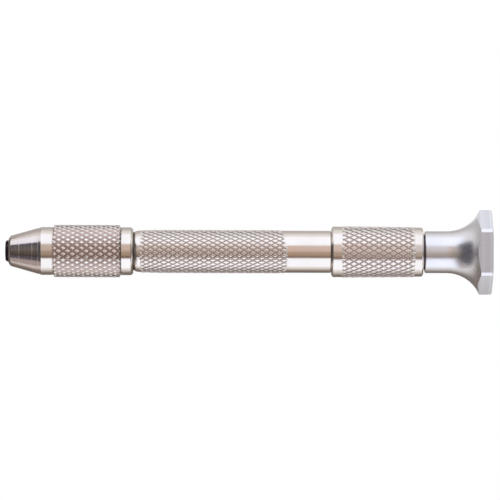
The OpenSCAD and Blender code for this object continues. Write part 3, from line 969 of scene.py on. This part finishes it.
# %% [markdown]
# Light for bare metal
#
# Bare metal shows the room and not its own colour, so the studio is built for what the metal sees. It
# is a white tent. Two long soft boxes lean over the vise, one from either side, and give each cylinder
# two bright bands. A warm card hangs overhead between them and shows as the quiet band along the
# middle. Cards close the two ends of the tent, the darker one at the nose, and a grey card stands
# beside the nose, because a cone looks that way. Last, a narrow dark flag lies on the table along each
# side of the vise. It is a painted shadow of the vise on the table, which only the metal's reflections
# see, and it draws the dark outline of the metal.

# %% The soft boxes
BOX_DISTANCE = 1.0
BOX_WIDTH = 1.05
BOX_LEAN = math.radians(64)
BOX_GLOW = 0.36
BOX_COLOUR = "#C6DAFF"
# An area lamp needs 4 watts a square metre to glow like a surface with an emission strength of 1
WATTS_FOR_GLOW = 4


def soft_box(name, side, x0, x1):
    """A soft box from x0 to x1 on one side of the vise. It adds the same glow whatever its size."""
    lamp = bpy.data.lights.new(name, "AREA")
    lamp.shape = "RECTANGLE"
    lamp.size = x1 - x0
    lamp.size_y = BOX_WIDTH
    lamp.energy = BOX_GLOW * WATTS_FOR_GLOW * BOX_WIDTH * (x1 - x0)
    lamp.color = linear(BOX_COLOUR)[:3]
    box = bpy.data.objects.new(name, lamp)
    box.matrix_world = (Matrix.Translation(((x0 + x1) / 2, 0, 0)) @ Matrix.Rotation(-side * BOX_LEAN, 4, "X")
                        @ Matrix.Translation((0, 0, BOX_DISTANCE)))
    box.visible_camera = False
    bpy.context.scene.collection.objects.link(box)
    return box


soft_box("soft_box_up", 1, -0.75, 1.25)
soft_box("soft_box_down", -1, -0.28, 1.25)
print("two soft boxes, leaning by %.0f degrees" % math.degrees(BOX_LEAN))

# %% [markdown]
# Cards that only reflections see
#
# A card is a plane that glows. The camera, the shadows and the diffuse light pass through it, so it
# does nothing but show in the metal. Its colour may run along it and across it, through a few tones.

# %% Making a card
def card(name, width, length, matrix, surface):
    """A card that only reflections see."""
    plane = stage_plane(name, width, length, matrix, surface)
    plane.visible_camera = False
    plane.visible_shadow = False
    plane.visible_diffuse = False
    return plane


def toned(tree, along, tones):
    """A colour that runs through (place in m, hex colour) pairs."""
    first, last = tones[0][0], tones[-1][0]
    share = add(tree, "ShaderNodeMapRange", {"Value": along, "From Min": first, "From Max": last})
    ramp = add(tree, "ShaderNodeValToRGB", {"Fac": share.outputs["Result"]})
    stops = ramp.color_ramp.elements
    stops[0].color, stops[-1].color = linear(tones[0][1]), linear(tones[-1][1])
    for place, colour in tones[1:-1]:
        stops.new((place - first) / (last - first)).color = linear(colour)
    return ramp.outputs["Color"]


def plain(colour):
    """The tones of a card that has one colour."""
    return ((0, colour), (1, colour))


def card_surface(name, lengthwise=plain("#FFFFFF"), crosswise=plain("#FFFFFF")):
    """A glowing card whose colour runs lengthwise along the vise and crosswise over it."""
    material, tree = new_material(name)
    place = add(tree, "ShaderNodeTexCoord").outputs["Object"]
    parts = add(tree, "ShaderNodeSeparateXYZ", {"Vector": place}).outputs
    colour = add(tree, "ShaderNodeMix", {MIX_FACTOR: 1.0, MIX_A: toned(tree, parts["X"], lengthwise),
                                         MIX_B: toned(tree, parts["Y"], crosswise)},
                 data_type="RGBA", blend_type="MULTIPLY").outputs[MIX_OUT]
    glow = add(tree, "ShaderNodeEmission", {"Color": colour, "Strength": 1.0})
    add(tree, "ShaderNodeOutputMaterial", {"Surface": glow.outputs[0]})
    return material


# %% [markdown]
# The ceiling and the ends of the tent
#
# The ceiling card is lighter on the upper side of the picture, has a dark lower border and runs from
# dark over the nose to light over the handle. Over the aluminium head it is cool. It hangs nearer than
# the soft boxes, so that the cone and the flare, which both look towards the nose end, see it fade out
# at different angles. Three more cards close the tent: one leans over the nose end, one stands beside
# the nose and one behind the head.

# %% The ceiling and the ends
CEILING_HEIGHT = 0.5
CEILING_LENGTHWISE = ((-0.42, "#69665F"), (-0.34, "#706C67"), (-0.30, "#8A8683"), (-0.25, "#A6A1A0"),
                      (-0.17, "#C8C1C0"), (-0.05, "#CDC3BB"), (0.01, "#DFC8BA"), (0.08, "#E8CFBF"),
                      (0.12, "#E4D0CB"), (0.14, "#EAF2FF"))
CEILING_CROSSWISE = ((-0.30, "#9A8A80"), (-0.22, "#9A8A80"), (-0.18, "#D1CABC"), (-0.05, "#D1CABC"),
                     (0.06, "#FFFFFF"))
CEILING_FRONT, CEILING_REAR = -0.42, 1.2
CEILING_DOWN, CEILING_UP = -0.35, 0.325
NOSE_END_SIZE = (1.15, 1.25)
NOSE_END_PLACE = (CEILING_FRONT - 0.38, -0.06, 0.26)
NOSE_END_LEAN = math.radians(-34)
# Each standing card: its material and colour, its place, its length and height, and its turn
STANDING_CARDS = {"side_card": ("grey side card", "#BDB2B1", (-0.9, -0.9), 1.2, 0.95, 0),
                  "rear_end_card": ("rear end card", "#85807C", (0.85, 0), 1.8, 0.9, 90)}


def upright(x, y, height, turned_by):
    """Stands a card on the table: its place, and how far it is turned about the vertical."""
    return (Matrix.Translation((x, y, height / 2)) @ Matrix.Rotation(math.radians(turned_by), 4, "Z")
            @ Matrix.Rotation(math.pi / 2, 4, "X"))


ceiling_middle = ((CEILING_FRONT + CEILING_REAR) / 2, (CEILING_DOWN + CEILING_UP) / 2, CEILING_HEIGHT)
card("ceiling_card", CEILING_REAR - CEILING_FRONT, CEILING_UP - CEILING_DOWN,
     Matrix.Translation(ceiling_middle),
     card_surface("warm ceiling card", CEILING_LENGTHWISE, CEILING_CROSSWISE))
card("nose_end_card", *NOSE_END_SIZE,
     Matrix.Translation(NOSE_END_PLACE) @ Matrix.Rotation(NOSE_END_LEAN, 4, "Y"),
     card_surface("dark end card", plain("#5B5A63")))
for name, (surface_name, colour, (x, y), length, height, turned_by) in STANDING_CARDS.items():
    card(name, length, height, upright(x, y, height, turned_by), card_surface(surface_name, plain(colour)))
print(2 + len(STANDING_CARDS), "cards over and round the vise")

# %% [markdown]
# Painted shadow on the table
#
# Three flags are a painted shadow of the vise on the table, which only the metal's reflections see.
# They fade out towards the table's own white. The two long ones are darkest where they touch the
# vise, and the lower side's is the darker one, so the vise's lower outline is the darker one too. A
# short, paler one draws the lower side of the rim. Two plain flags are there for the cone, which sees
# the table ahead of the vise: one just before the tip, and a large one further off.

# %% The painted shadow flags
FLAG_HEIGHT = 0.0003
UPPER_SHADOW_TONES = ((0.0, "#C2BEBC"), (0.012, "#C8C5C3"), (0.017, "#D4D1CF"), (0.022, "#E8E6E5"),
               (0.033, "#FBFBFA"), (0.05, "#FFFFFF"))
LOWER_SHADOW_TONES = ((-0.09, "#FFFFFF"), (-0.06, "#F7F5F3"), (-0.036, "#E8E3E0"), (-0.024, "#D0CAC5"),
               (-0.019, "#A39B95"), (-0.015, "#877E77"), (0.0, "#7C746E"))
RIM_SHADOW_TONES = ((-0.06, "#F7F5F3"), (-0.036, "#E4E0DE"), (-0.024, "#D0CBC8"), (-0.014, "#C8C2BE"))
# Each painted shadow flag: where it starts and ends, in m from the tip, and the tones across it
SHADOW_FLAGS = {"upper_shadow_flag": (-0.6, 0.100, UPPER_SHADOW_TONES), "lower_shadow_flag": (-0.6, 0.107, LOWER_SHADOW_TONES),
         "rim_shadow_flag": (0.107, 0.113, RIM_SHADOW_TONES)}
# Each plain flag: its colour, its length and width, and its place on the table
PLAIN_FLAGS = {"nose_flag": ("#6A6460", 0.1, 0.05, (-0.055 - nut_knurl_x0 * MM, 0, 0.0006)),
               "far_flag": ("#9A9695", 0.55, 0.5, (-0.40, -0.33, 0.0004))}

for name, (x0, x1, tones) in SHADOW_FLAGS.items():
    y0, y1 = tones[0][0], tones[-1][0]
    place = ((x0 + x1) / 2 - nut_knurl_x0 * MM, (y0 + y1) / 2, FLAG_HEIGHT)
    card(name, x1 - x0, y1 - y0, on_table @ Matrix.Translation(place),
         card_surface("painted table shadow", crosswise=tones))
for name, (colour, length, width, place) in PLAIN_FLAGS.items():
    card(name, length, width, on_table @ Matrix.Translation(place),
         card_surface(name.replace("_", " "), plain(colour)))
print(len(SHADOW_FLAGS) + len(PLAIN_FLAGS), "flags lie on the table")

# %% [markdown]
# The white room
#
# The camera and the metal see the room as plain white. For the table's diffuse share it is dimmer, so
# that the table doesn't wash out round the vise's shadow.

# %% The white room
ROOM_LIGHT = 0.5


def white_room():
    world = bpy.data.worlds.new("studio")
    world.use_nodes = True
    tree = world.node_tree
    tree.nodes.clear()
    dim = add(tree, "ShaderNodeBackground", {"Color": linear("#C8C4C0"), "Strength": ROOM_LIGHT})
    white = add(tree, "ShaderNodeBackground", {"Color": linear("#FFFFFF"), "Strength": 1.0})
    surface = add(tree, "ShaderNodeMixShader", {0: shown_directly(tree), 1: dim.outputs[0],
                                                2: white.outputs[0]})
    add(tree, "ShaderNodeOutputWorld", {"Surface": surface.outputs[0]})
    bpy.context.scene.world = world


white_room()
bpy.context.scene.view_settings.view_transform = "Standard"

# %% [markdown]
# The camera
#
# The vise was photographed from straight above and from nearly a metre away, and lay a fifth of a
# degree out of level in the picture. The picture's scale and the place of the tip in it give the
# camera's place. A long lens keeps the ends of the vise from leaning outwards.

# %% The camera
IMAGE = 500
MM_PER_PIXEL = 0.2222
TIP_PIXEL = 5.7
AXIS_PIXEL_LEFT, AXIS_PIXEL_RIGHT = 250.8, 252.4
CAMERA_DISTANCE = 0.89
SENSOR = 36.0
CLIP_END = 20.0
centre_x = (IMAGE / 2 - TIP_PIXEL) * MM_PER_PIXEL * MM
drop = ((AXIS_PIXEL_LEFT + AXIS_PIXEL_RIGHT) / 2 - IMAGE / 2) * MM_PER_PIXEL * MM
roll = math.atan2(AXIS_PIXEL_RIGHT - AXIS_PIXEL_LEFT, IMAGE)
half_view = math.atan2(IMAGE / 2 * MM_PER_PIXEL * MM, CAMERA_DISTANCE)

camera_data = bpy.data.cameras.new("camera")
camera_data.sensor_width = SENSOR
camera_data.lens = SENSOR / 2 / math.tan(half_view)
camera_data.clip_end = CLIP_END
camera = bpy.data.objects.new("camera", camera_data)
camera.matrix_world = (Matrix.Translation((centre_x, drop, CAMERA_DISTANCE))
                       @ Matrix.Rotation(roll, 4, "Z"))
bpy.context.scene.collection.objects.link(camera)
bpy.context.scene.camera = camera
print("lens %.0f mm, half view %.4f rad" % (camera_data.lens, half_view))

# %% [markdown]
# Bringing the scene up to date
#
# Last, the view layer is updated, so that every piece stands where it was placed.

# %% Update the scene
bpy.context.view_layer.update()
